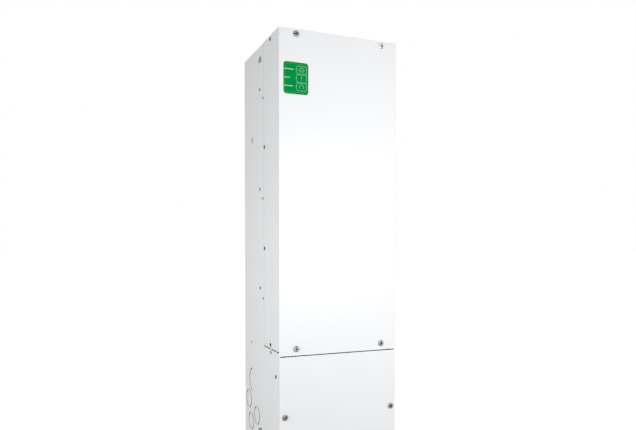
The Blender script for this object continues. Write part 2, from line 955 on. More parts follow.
    def knockout_slot(self, centre: Vector, radius: float, middle: float) -> Object:
        """A ring-shaped slot, swept about X, that stops short of the tabs at its ends.

        Args:
            centre: The knockout's centre.
            radius: Its radius.
            middle: The angle of the slot's middle, in degrees up from +Y.

        Returns:
            The cutter.
        """
        start = math.radians(middle - self.slot_span / 2)
        out = Vector((0.0, math.cos(start), math.sin(start)))
        along = Vector((0.0, -math.sin(start), math.cos(start)))
        half = self.slot_width / 2
        reach = 2 * SHEET
        cutter = block("knockout_slot", (centre.x - reach, -half, -HAIR), (centre.x + reach, half, 0.0))
        seat = Vector((0.0, centre.y, centre.z)) + out * radius
        cutter.data.transform(Matrix.Rotation(start, 4, "X"))
        cutter.data.transform(Matrix.Translation(seat))
        return sweep(cutter, along, centre, (1, 0, 0), -math.radians(self.slot_span), self.slot_steps)


# ---------------------------------------------------------------- fasteners


class Drive(Enum):
    """The recess in a screw's head."""

    SLOT = "slot"
    CROSS = "cross"
    COMBINATION = "combination"


@dataclass(frozen=True)
class Thread:
    """The threaded part of a screw, drawn as rings on a shank."""

    shank_radius: float = 0.0018
    crest_radius: float = 0.0020
    crest: float = 0.0003
    first: float = 0.0016
    pitch: float = 0.0008
    share: float = 1.5

    def pieces(self, length: float) -> list[Object]:
        """The shank and its thread, down from the origin.

        Args:
            length: The shank's length.

        Returns:
            The two pieces.
        """
        shank = drum("shank", self.shank_radius, length, (0, 0, -length / 2), sides=20)
        ring = drum("thread", self.crest_radius, self.crest, (0, 0, 0), sides=20)
        count = int(length / (self.pitch * self.share))
        places = [Matrix.Translation((0, 0, -self.first - self.pitch * turn)) for turn in range(count)]
        return [paint(shank, PLATED_SCREW), paint(repeat(ring, "thread", places), PLATED_SCREW)]


def driven_head(
    radius: float, height: float, drive: Drive, shank: float = 0.0, finish: Finish = PLATED_SCREW
) -> Object:
    """A screw up +Z from the origin: a rounded head with a driven recess, and a threaded shank.

    Args:
        radius: The head's radius.
        height: The head's height.
        drive: The recess.
        shank: How long a shank to show below the head.
        finish: What the head is plated with.

    Returns:
        The screw.
    """
    head = drum("screw_head", radius, height, (0, 0, height / 2), sides=40)
    round_rim(head, height * 0.5, 5)
    floor = height * 0.30
    top = height + HAIR
    cutters = []
    if drive is not Drive.CROSS:
        cutters.append(upright("slot", radius * 2.2, radius * 0.24, top, floor))
    if drive is not Drive.SLOT:
        cutters.append(upright("arm", radius, radius * 0.30, top, floor * 0.5))
        cutters.append(upright("arm", radius * 0.30, radius, top, floor * 0.5))
    carve(head, *cutters)

    def in_recess(middle: Vector, normal: Vector) -> bool:
        """Whether a face is a wall of the recess, which looks inwards, or its floor."""
        inwards = normal.xy.dot(middle.xy) <= HAIR * radius
        wall = abs(normal.z) < 0.05 and middle.xy.length < radius * 0.97 and inwards
        bottom = normal.z > SQUARE and middle.xy.length < radius * 0.9
        return middle.z < height * 0.95 and (wall or bottom)

    paint(head, finish)
    paint(head, RECESS, in_recess)
    thread = Thread().pieces(shank) if shank else []
    return shade(join("screw", [head, *thread]), 32.0)


def hex_bolt(radius: float, height: float) -> Object:
    """A hexagon head on a washer, up +Z from the origin.

    Args:
        radius: The head's radius.
        height: The height of both.

    Returns:
        The bolt.
    """
    washer = drum("washer", radius * 1.25, height * 0.25, (0, 0, height * 0.125), sides=40)
    head = drum("hexagon", radius, height * 0.75, (0, 0, height * 0.625), sides=6)
    inset(head, UPWARD, radius * 0.18)
    return join("bolt", [soften(metal, height * 0.06) for metal in (washer, head)])


def screw_set(
    name: str,
    screw: Object,
    places: Iterable[Matrix],
    finish: Finish = PLATED_SCREW,
    body: Body = Body.CHASSIS,
) -> Object:
    """Copies of a screw at each place, handed over as one piece; the screw itself goes."""
    return hand_over(repeat(screw, name, places), body, finish)


@dataclass
class Fasteners:
    """Screws of the covers, and the rivets and punched marks in the chassis sides."""

    pan_radius: float = 0.0051
    pan_height: float = 0.0026
    flange_radius: float = 0.0032
    flange_height: float = 0.0010
    shank: float = 0.0080
    rivet_radius: float = 0.0028
    rivet_height: float = 0.0007
    rivet_rise: float = 0.0003
    rivets: tuple[tuple[float, float, float], ...] = (
        (0.1075, 0.6797, 1.0), (0.0895, 0.6607, 0.9), (0.1083, 0.5005, 1.0), (0.0903, 0.4825, 0.9),
        (0.1068, 0.3213, 1.0), (0.0894, 0.3036, 0.9), (0.0458, 0.2139, 1.0), (0.1638, 0.2142, 0.8),
        (0.0190, 0.1766, 1.2),
    )
    marks: tuple[tuple[float, float, float, float], ...] = (
        (0.1068, 0.7328, 0.0160, 0.0048), (0.1565, 0.5964, 0.0066, 0.0010),
    )
    mark_height: float = 0.0104

    def build(self) -> None:
        """Builds every fastener."""
        self.upper_low, self.upper_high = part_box("upper_cover")
        self.front_screws()
        self.flange_screws()
        self.side_hardware()

    def front_screws(self) -> None:
        """The pan-head screws in the two front covers, each left at its own turn."""
        combination = driven_head(self.pan_radius, self.pan_height, Drive.COMBINATION, self.shank)
        turns = {
            "cover_screw_upper_left": (4.0, Body.UPPER_COVER),
            "cover_screw_upper_right": (82.0, Body.UPPER_COVER),
            "cover_screw_lower_left": (93.0, Body.UPPER_COVER),
            "cover_screw_lower_right": (97.0, Body.UPPER_COVER),
            "lower_screw_left": (48.0, Body.LOWER_COVER),
            "lower_screw_right": (135.0, Body.LOWER_COVER),
        }
        for node, (turn, body) in turns.items():
            seat = middle_of(node)
            seat.y = self.upper_low.y
            screw = copy_of(combination, node + "_driven", placed(seat, Facing.FRONT, turn))
            if node == "cover_screw_upper_right":
                screw.data.materials[0] = BRIGHT_SCREW.material()
            hand_over(screw, body, replaces=[node])
        bpy.data.objects.remove(combination)

    def flange_screws(self) -> None:
        """The low-head screws through the upper cover's side flanges."""
        low_head = driven_head(self.flange_radius, self.flange_height, Drive.CROSS, self.shank, RIVET_STEEL)
        sides = (("left", Facing.LEFT, self.upper_low.x), ("right", Facing.RIGHT, self.upper_high.x))
        for side, facing, face in sides:
            for number in range(1, 5):
                node = f"{side}_flange_screw_{number}"
                seat = middle_of(node)
                seat.x = face
                screw = copy_of(low_head, node + "_driven", placed(seat, facing, 25.0 * number))
                hand_over(screw, Body.UPPER_COVER, replaces=[node])
        bpy.data.objects.remove(low_head)

    def side_hardware(self) -> None:
        """Blind rivets and punched marks on both chassis sides."""
        rivet = self.rivet()
        tabs = [self.punched_mark(length, nose) for _, _, length, nose in self.marks]
        front = self.upper_low.y
        for side, facing in ((-1, Facing.LEFT), (1, Facing.RIGHT)):
            face = side * abs(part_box("lower_cover")[0].x)
            for number, (depth, height, size) in enumerate(self.rivets, 1):
                place = placed((face, front + depth, height), facing) @ Matrix.Scale(size, 4)
                made = copy_of(rivet, f"{SIDES[side]}_rivet_{number}", place)
                if size < 1.0:
                    made.data.materials[0] = FAINT_RIVET.material()
                hand_over(made, Body.CHASSIS)
            for number, (tab, (depth, height, _, _)) in enumerate(zip(tabs, self.marks), 1):
                place = placed((face, front + depth, height), facing, 90.0)
                made = copy_of(tab, f"{SIDES[side]}_punched_mark_{number}", place)
                hand_over(made, Body.CHASSIS)
        for source in (rivet, *tabs):
            bpy.data.objects.remove(source)

    def rivet(self) -> Object:
        """A domed blind rivet with the broken stem in its middle.

        Returns:
            The rivet, up +Z from the origin.
        """
        dome = drum("rivet", self.rivet_radius, self.rivet_height, (0, 0, self.rivet_rise), sides=24)
        round_rim(dome, 0.0004, 4)
        sink_top(dome, self.rivet_radius * 0.45, self.rivet_rise)
        return paint(shade(dome, 32.0), RIVET_STEEL)

    def punched_mark(self, length: float, nose: float) -> Object:
        """A shallow punched tab, rounded at its rear.

        Args:
            length: Its size from front to back.
            nose: How far its two rear corners are rounded.

        Returns:
            The tab, with its rear towards +X.
        """
        tab = upright("mark", length, self.mark_height, 0.00022, -0.0002)
        round_edges(tab, (0, 0, 1), nose, 6, lambda middle, run: middle.x > 0)
        return paint(soften(tab, 0.00012, 2, 50.0), PUNCHED_GREY)


# ---------------------------------------------------------------- indicator panel


@dataclass
class IndicatorPanel:
    """The printed overlay with its three lit rows, and the board behind it."""

    corner: float = 0.0045
    border: float = 0.0023
    line: float = 0.00025
    ink: float = 0.00006
    proud: float = 0.0006
    box_left: float = 0.0221
    box_right: float = 0.0403
    box_spans: tuple[tuple[float, float], ...] = ((0.0330, 0.0468), (0.0192, 0.0329), (0.0056, 0.0191))
    box_corner: float = 0.0028
    box_stroke: float = 0.00085
    word_widths: tuple[float, ...] = (0.0160, 0.0103, 0.0146)
    dashes: tuple[float, ...] = (0.0028, 0.0017, 0.0024, 0.0015, 0.0030, 0.0020)
    word_left: float = 0.0014
    dash_gap: float = 0.0005
    dash_left: float = 0.0010
    dash_half: float = 0.0007
    dash_rise: float = 0.0004
    dash_corner: float = 0.0004
    dash_least: float = 0.0006

    def build(self) -> None:
        """Builds the overlay, its print, the lenses and the board."""
        self.low, self.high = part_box("indicator_label")
        self.overlay()
        self.outlines()
        self.word_bars()
        self.pictograms()
        self.lenses()
        self.board()

    def at(self, across: float, up: float) -> Vector:
        """A point on the overlay's face, measured from its lower left corner."""
        return Vector((self.low.x + across, self.low.y, self.low.z + up))

    def overlay(self) -> Object:
        """A rounded film with a darker border inside a hairline.

        Returns:
            The film.
        """
        centre = (self.low + self.high) / 2
        limit = self.line * (self.high.x - self.low.x - 2 * self.border) * 1.5
        film = block("indicator_overlay", self.low, self.high)
        round_edges(film, (0, 1, 0), self.corner, 8)
        inset(film, towards(0, -1, 0, SQUARE), self.border)
        inset(film, lambda middle, normal: normal.y < -SQUARE and (middle - centre).length < 0.003, self.line)
        paint(film, FILM_BORDER)
        for finish in (PRINT_PALE, FILM_GREEN):
            film.data.materials.append(finish.material())
        for face in film.data.polygons:
            if face.normal.y > -SQUARE:
                continue
            if (face.center - centre).length < 0.002:
                face.material_index = 2
            elif face.area < limit and self.inside_line(face.center):
                face.material_index = 1
        return hand_over(shade(film, 35.0), Body.UPPER_COVER, replaces=["indicator_label"])

    def inside_line(self, point: Vector) -> bool:
        """Whether a point on the film's face lies on the hairline and not on the border."""
        across = min(point.x - self.low.x, self.high.x - point.x)
        up = min(point.z - self.low.z, self.high.z - point.z)
        return min(across, up) > self.border * 0.9

    def tile(self, name: str, left: float, bottom: float, right: float, top: float) -> Object:
        """A thin raised tile of ink between two corners of the overlay."""
        ink = Vector((0.0, self.ink, 0.0))
        return block(name, self.at(left, bottom) - ink, self.at(right, top) + ink)

    def outline(self, bottom: float, top: float) -> Object:
        """A rounded outline printed round a pictogram.

        Args:
            bottom: Its lower edge.
            top: Its upper edge.

        Returns:
            The outline.
        """
        left, right, stroke = self.box_left, self.box_right, self.box_stroke
        ring = self.tile("row_outline", left, bottom, right, top)
        hole = self.tile("row_hole", left + stroke, bottom + stroke, right - stroke, top - stroke)
        round_edges(ring, (0, 1, 0), self.box_corner, 6)
        round_edges(hole, (0, 1, 0), self.box_corner - stroke, 6)
        shift(hole, FRONTWARD, (0.0, -10 * self.ink, 0.0))
        shift(hole, REARWARD, (0.0, 10 * self.ink, 0.0))
        carve(ring, hole)
        return ring

    def arc(self, centre: Vector, radius: float, start: float, span: float, stroke: float) -> Object:
        """A printed arc, swept about the overlay's normal.

        Args:
            centre: The arc's centre on the overlay.
            radius: Its middle radius.
            start: Where it starts, in degrees from +X.
            span: How far it goes, in degrees.
            stroke: Its width.

        Returns:
            The arc.
        """
        low = (radius - stroke / 2, -self.ink, -HAIR)
        stub = block("arc", low, (radius + stroke / 2, self.ink, 0.0))
        turn = Matrix.Rotation(-math.radians(start), 4, "Y")
        stub.data.transform(Matrix.Translation(centre) @ turn)
        along = turn @ Vector((0.0, 0.0, 1.0))
        return sweep(stub, along, centre, (0, 1, 0), math.radians(span), max(6, int(span / 12)))

    def outlines(self) -> None:
        """The three outlines."""
        rings = [self.outline(bottom, top) for bottom, top in self.box_spans]
        hand_over(join("indicator_outlines", rings), Body.UPPER_COVER, PRINT_PALE)

    def word_bars(self) -> None:
        """Bars where words would be, each broken into short dashes."""
        bars = []
        for (bottom, top), width in zip(self.box_spans, self.word_widths):
            middle = (bottom + top) / 2 + self.dash_rise
            left = self.dash_left
            for dash in self.dashes:
                right = min(left + dash, self.word_left + width)
                if right - left > self.dash_least:
                    bar = self.tile("word_bar", left, middle - self.dash_half, right, middle + self.dash_half)
                    bars.append(round_edges(bar, (0, 1, 0), self.dash_corner, 3))
                left += dash + self.dash_gap
        hand_over(join("indicator_word_bars", bars), Body.UPPER_COVER, PRINT_WHITE)

    def pictograms(self) -> None:
        """Generic signs in the outlines: a wave, an exclamation mark and an open ring."""
        across = (self.box_left + self.box_right) / 2
        upper, middle, lower = ((bottom + top) / 2 for bottom, top in self.box_spans)
        wave = self.at(across, upper)
        crest = wave + Vector((0.0002, 0.0, 0.0002))
        curl = wave + Vector((0.0012, 0.0, -0.0010))
        signs = [
            self.arc(crest, 0.0040, -20.0, 200.0, 0.0010),
            self.tile("leg", across - 0.0043, upper - 0.0038, across - 0.0033, upper + 0.0002),
            self.arc(curl, 0.0019, 80.0, 290.0, 0.0010),
            self.tile("bar", across - 0.0007, middle - 0.0006, across + 0.0007, middle + 0.0040),
            self.tile("dot", across - 0.0006, middle - 0.0034, across + 0.0006, middle - 0.0022),
            self.arc(self.at(across, lower), 0.0036, -45.0, 275.0, 0.0011),
        ]
        hand_over(join("indicator_pictograms", signs), Body.UPPER_COVER, PRINT_PALE)

    def lenses(self) -> None:
        """The tips of the light pipes, standing proud as small domes."""
        for row in ("upper", "middle", "lower"):
            node = "light_pipe_" + row
            low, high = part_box(node)
            radius = (high.x - low.x) / 2
            centre = middle_of(node) - Vector((0.0, self.proud / 2, 0.0))
            lens = drum(node + "_lens", radius, high.y - low.y + self.proud, centre, Facing.FRONT, 24)
            round_rim(lens, radius * 0.5, 5)
            hand_over(shade(lens, 50.0), Body.UPPER_COVER, LENS, [node])

    def board(self) -> None:
        """The small board that carries the lights behind the cover, with its parts."""
        refined("indicator_board", SOLDER_MASK, 0.0002, Body.UPPER_COVER)
        low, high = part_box("indicator_board")
        parts = PartsBin()
        stock = [
            (parts.chip(0.0080, 0.0060, 0.0018), [(low.x + 0.0080, low.z + 0.0140)]),
            (parts.tiny(), [(low.x + 0.0220, low.z + 0.0100 * number) for number in range(1, 5)]),
            (parts.header(4), [(high.x - 0.0130, low.z + 0.0420)]),
        ]
        populate("indicator_board_parts", high.y, stock, body=Body.UPPER_COVER, facing=Facing.BACK)


# ---------------------------------------------------------------- inside: sheet metal


@dataclass
class Structure:
    """The bare zinc-coated sheet that holds the inside, with its screws, and the wall bracket."""

    sheets: tuple[str, ...] = (
        "shelf_panel", "left_shelf_rail", "right_shelf_rail", "left_cover_lip", "right_cover_lip",
        "left_sink_rail", "right_sink_rail", "fan_plate", "terminal_plate",
    )
    edge: float = 0.00025
    keyhole_x: float = 0.0600
    keyhole_z: float = 0.6250
    keyhole_radius: float = 0.0060
    neck_half: float = 0.0029
    neck_span: tuple[float, float] = (0.0020, 0.0150)
    slot_z: float = 0.6780
    slot_half: tuple[float, float] = (0.0100, 0.0032)
    rail_screw_x: float = 0.0905
    rail_screw_y: float = 0.0150
    rail_screw_heights: tuple[float, ...] = (0.305, 0.430, 0.560, 0.685)
    plate_screw_x: float = 0.090
    plate_screw_heights: tuple[float, ...] = (0.030, 0.190)

    def build(self) -> None:
        """Builds the sheets and the screws that fix them."""
        for node in self.sheets:
            refined(node, ZINC_SHEET, self.edge)
        self.bracket()
        plate_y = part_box("terminal_plate")[0].y
        places = []
        for x in (-self.rail_screw_x, self.rail_screw_x):
            for z in self.rail_screw_heights:
                places.append(placed((x, self.rail_screw_y, z), Facing.FRONT, 30.0 + 400.0 * z))
        for z in self.plate_screw_heights:
            for x in (-self.plate_screw_x, self.plate_screw_x):
                places.append(placed((x, plate_y, z), Facing.FRONT, 900.0 * (x + z)))
        screw_set("chassis_fixing_screws", driven_head(0.0032, 0.0020, Drive.CROSS), places)

    def bracket(self) -> Object:
        """The wall bracket, with a keyhole and a slotted hole for a wall screw towards each end.

        Returns:
            The bracket.
        """
        bracket = welded("wall_bracket")
        low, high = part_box("wall_bracket")
        reach = high.y - low.y
        middle = (low.y + high.y) / 2
        front, back = middle - reach, middle + reach
        neck_low, neck_high = self.neck_span
        slot_x, slot_z = self.slot_half
        for x in (-self.keyhole_x, self.keyhole_x):
            seat = (x, middle, self.keyhole_z)
            eye = drum("keyhole_eye", self.keyhole_radius, 2 * reach, seat, Facing.FRONT)
            neck = block(
                "keyhole_neck",
                (x - self.neck_half, front, self.keyhole_z + neck_low),
                (x + self.neck_half, back, self.keyhole_z + neck_high),
            )
            slot = block(
                "wall_slot",
                (x - slot_x, front, self.slot_z - slot_z),
                (x + slot_x, back, self.slot_z + slot_z),
            )
            round_edges(neck, (0, 1, 0), self.neck_half - 0.0001, 6)
            round_edges(slot, (0, 1, 0), slot_z - 0.0001, 6)
            carve(bracket, eye, neck, slot)
        soften(bracket, self.edge, 2, 50.0)
        return hand_over(bracket, Body.CHASSIS, ZINC_SHEET, ["wall_bracket"])


# ---------------------------------------------------------------- inside: board parts


Stock = list[tuple[Object, Spots]]


@dataclass(frozen=True)
class PartsBin:
    """Soldered parts, each modelled up +Z from the origin with its height along Y."""

    foot: float = 0.0009
    wire: float = 0.0006
    header_height: float = 0.0075
    header_rise: float = 0.0090

    def chip(
        self, width: float, height: float, rise: float, finish: Finish = BLACK_MOULDING, pitch: float = 0.0014
    ) -> Object:
        """A moulded body with gull-wing legs along two sides.

        Args:
            width: Its size across.
            height: Its size up.
            rise: How far it stands off the board.
            finish: What its body is made of.
            pitch: The spacing of its legs.

        Returns:
            The chip.
        """
        body = upright("chip_body", width, height, rise, HAIR * 3)
        with editing(body, UPWARD):
            bpy.ops.transform.resize(value=(0.92, 0.92, 1.0))
        pieces = [paint(soften(body, min(width, height, rise) * 0.08), finish)]
        leg = block("leg", (-0.00025, 0, 0), (0.00025, self.foot + 0.0002, 0.00025))
        knee = 0.0005
        slice_mesh(leg, (0, knee, 0), (0, 1, 0))
        extrude(leg, lambda middle, normal: normal.z > ALONG and middle.y < knee, (0, 0, rise * 0.35))
        paint(leg, TIN)
        count = max(2, int(width / pitch))
        for number in range(count):
            above = Matrix.Translation((width * ((number + 0.5) / count - 0.5), height / 2 - 0.0002, 0))
            pieces.append(copy_of(leg, "leg", above))
            pieces.append(copy_of(leg, "leg", Matrix.Rotation(math.pi, 4, "Z") @ above))
        bpy.data.objects.remove(leg)
        return join("chip", pieces)

    def tiny(self, finish: Finish = CREAM_MOULDING) -> Object:
        """The smallest of the parts, with two legs a side."""
        return self.chip(0.0032, 0.0016, 0.0006, finish, 0.002)

    def can(self, radius: float, height: float, sleeve: Finish = SLEEVE) -> Object:
        """A sleeved electrolytic can with a crimp, a bare vented top and a rounded rim.

        Args:
            radius: Its radius.
            height: Its height.
            sleeve: What its sleeve is made of.

        Returns:
            The can.
        """
        can = drum("can", radius, height, (0, 0, height / 2), sides=40)
        groove = radius * 0.05
        crimp = height * 0.09 + groove
        for z in (crimp - groove, crimp, crimp + groove):
            slice_mesh(can, (0, 0, z), (0, 0, 1))
        with editing(can) as shape:
            bpy.ops.mesh.select_mode(type="VERT")
            for vert in shape.verts:
                vert.select_set(abs(vert.co.z - crimp) < HAIR / 10)
            bmesh.update_edit_mesh(can.data)
            bpy.ops.transform.resize(value=(0.94, 0.94, 1.0))
        sink_top(can, radius * 0.13, min(0.0008, height * 0.03))
        soften(can, radius * 0.035, 3, 50.0)
        for across, up in ((1.2, 0.07), (0.07, 1.2)):
            carve(can, upright("score", radius * across, radius * up, height, height - 0.0015))

        def bare(middle: Vector, normal: Vector) -> bool:
            """Whether a face is in the top, inside the sleeve's rim."""
            return middle.z > height * 0.9 and middle.xy.length < radius * 0.86

        paint(can, sleeve)
        return paint(can, EXTRUSION, bare)

    def brick(self, width: float, height: float, rise: float, finish: Finish) -> Object:
        """A potted box on a small plinth: a film capacitor, a relay or a sensor.

        Args:
            width: Its size across.
            height: Its size up.
            rise: How far it stands off the board.
            finish: What it is made of.

        Returns:
            The box.
        """
        box = upright("brick", width, height, rise)
        slice_mesh(box, (0, 0, rise * 0.07), (0, 0, 1))
        with editing(box, DOWNWARD):
            bpy.ops.mesh.select_more()
            bpy.ops.transform.resize(value=(0.96, 0.96, 1.0), center_override=(0, 0, 0))
        sink_top(box, min(width, height) * 0.08, 0.0003)
        return paint(soften(box, min(width, height) * 0.03, 3), finish)

    def header(self, count: int, finish: Finish = CREAM_MOULDING, pitch: float = 0.0040) -> Object:
        """A shrouded connector with a row of tinned pins.

        Args:
            count: How many pins.
            finish: What its shroud is made of.
            pitch: The spacing of its pins.

        Returns:
            The connector.
        """
        rise = self.header_rise
        shroud = upright("shroud", count * pitch + 0.003, self.header_height, rise)
        sink_top(shroud, 0.0009, rise * 0.75)
        pieces = [paint(soften(shroud, 0.00025), finish)]
        pin = paint(soften(upright("pin", 0.0008, 0.0008, rise * 0.85, rise * 0.2), 0.00015), TIN)
        for number in range(count):
            place = Matrix.Translation(((number - (count - 1) / 2) * pitch, 0, 0))
            pieces.append(copy_of(pin, "pin", place))
        bpy.data.objects.remove(pin)
        return join("header", pieces)

    def fuse(self, length: float, radius: float) -> Object:
        """A ceramic tube between two tinned caps in spring clips.

        Args:
            length: Its length.
            radius: The radius of its caps.

        Returns:
            The fuse.
        """
        tube = drum("tube", radius * 0.92, length, (0, 0, 0))
        pieces = [paint(soften(tube, radius * 0.05), CREAM_MOULDING)]
        for end in (length * 0.39, -length * 0.39):
            cap = drum("cap", radius, length * 0.22, (0, 0, end))
            low = (-radius * 0.5, radius * 0.2, end - length * 0.08)
            clip = block("clip", low, (radius * 0.5, radius * 1.25, end + length * 0.08))
            pieces += [paint(soften(metal, radius * 0.08), TIN) for metal in (cap, clip)]
        whole = join("fuse", pieces)
        whole.data.transform(placed((0, 0, radius * 1.25), Facing.BACK))
        return whole

    def disc(self, radius: float, thickness: float, finish: Finish) -> Object:
        """A dipped disc standing on two leads: a surge absorber.

        Args:
            radius: Its radius.
            thickness: Its thickness.
            finish: What it is dipped in.

        Returns:
            The disc.
        """
        disc = drum("disc", radius, thickness, (0, 0, radius + 0.002), Facing.FRONT)
        pieces = [paint(soften(disc, thickness * 0.35, 4), finish)]
        for side in SIDES:
            lead = drum("lead", self.wire, radius, (side * radius * 0.5, 0, radius * 0.5), sides=12)
            pieces.append(paint(soften(lead, self.wire * 0.2), TIN))
        return join("disc", pieces)

    def resistor(self, length: float, radius: float) -> Object:
        """A banded axial resistor on its two bent leads, lying along X.

        Args:
            length: Its body's length.
            radius: Its body's radius.

        Returns:
            The resistor.
        """
        rise = radius * 1.4
        reach = length * 0.85
        body = drum("resistor", radius, length, (0, 0, rise), Facing.RIGHT, 24)
        pieces = [paint(soften(body, radius * 0.35, 3), CREAM_MOULDING)]
        for place, finish in ((-0.28, SLEEVE), (-0.08, FILM_BOX), (0.12, TAPE)):
            band = drum("band", radius * 1.02, length * 0.07, (length * place, 0, rise), Facing.RIGHT, 24)
            pieces.append(paint(soften(band, radius * 0.01, 1), finish))
        leads = [drum("wire", self.wire / 2, 2 * reach, (0, 0, rise), Facing.RIGHT, 10)]
        for side in SIDES:
            leads.append(drum("leg", self.wire / 2, rise, (side * reach, 0, rise / 2), sides=10))
        pieces += [paint(soften(lead, self.wire * 0.1), TIN) for lead in leads]
        return join("resistor", pieces)

    def track(self, width: float, height: float) -> Object:
        """A wide tinned track with a solder fillet round its edge."""
        track = upright("track", width, height, 0.00022)
        round_edges(track, (0, 0, 1), min(width, height) * 0.45, 5)
        return paint(soften(track, 0.00009), TIN)


def row(first: float, step: float, count: int, z: float) -> Spots:
    """Evenly spaced places across a board, all at one height."""
    return [(first + step * number, z) for number in range(count)]


def populate(
    name: str,
    surface: float,
    stock: Stock,
    body: Body = Body.CHASSIS,
    facing: Facing = Facing.FRONT,
) -> Object:
    """Stands copies of parts on a board and joins them into one piece.

    Args:
        name: The piece's name.
        surface: The y of the board's surface.
        stock: Each part with its places across and up.
        body: The body it rides on.
        facing: Which way the parts stand off the board.

    Returns:
        The joined piece.
    """
    made = []
    for source, spots in stock:
        made += [copy_of(source, name, placed((x, surface, z), facing)) for x, z in spots]
        bpy.data.objects.remove(source)
    return hand_over(join(name, made), body)


# ---------------------------------------------------------------- inside: power section


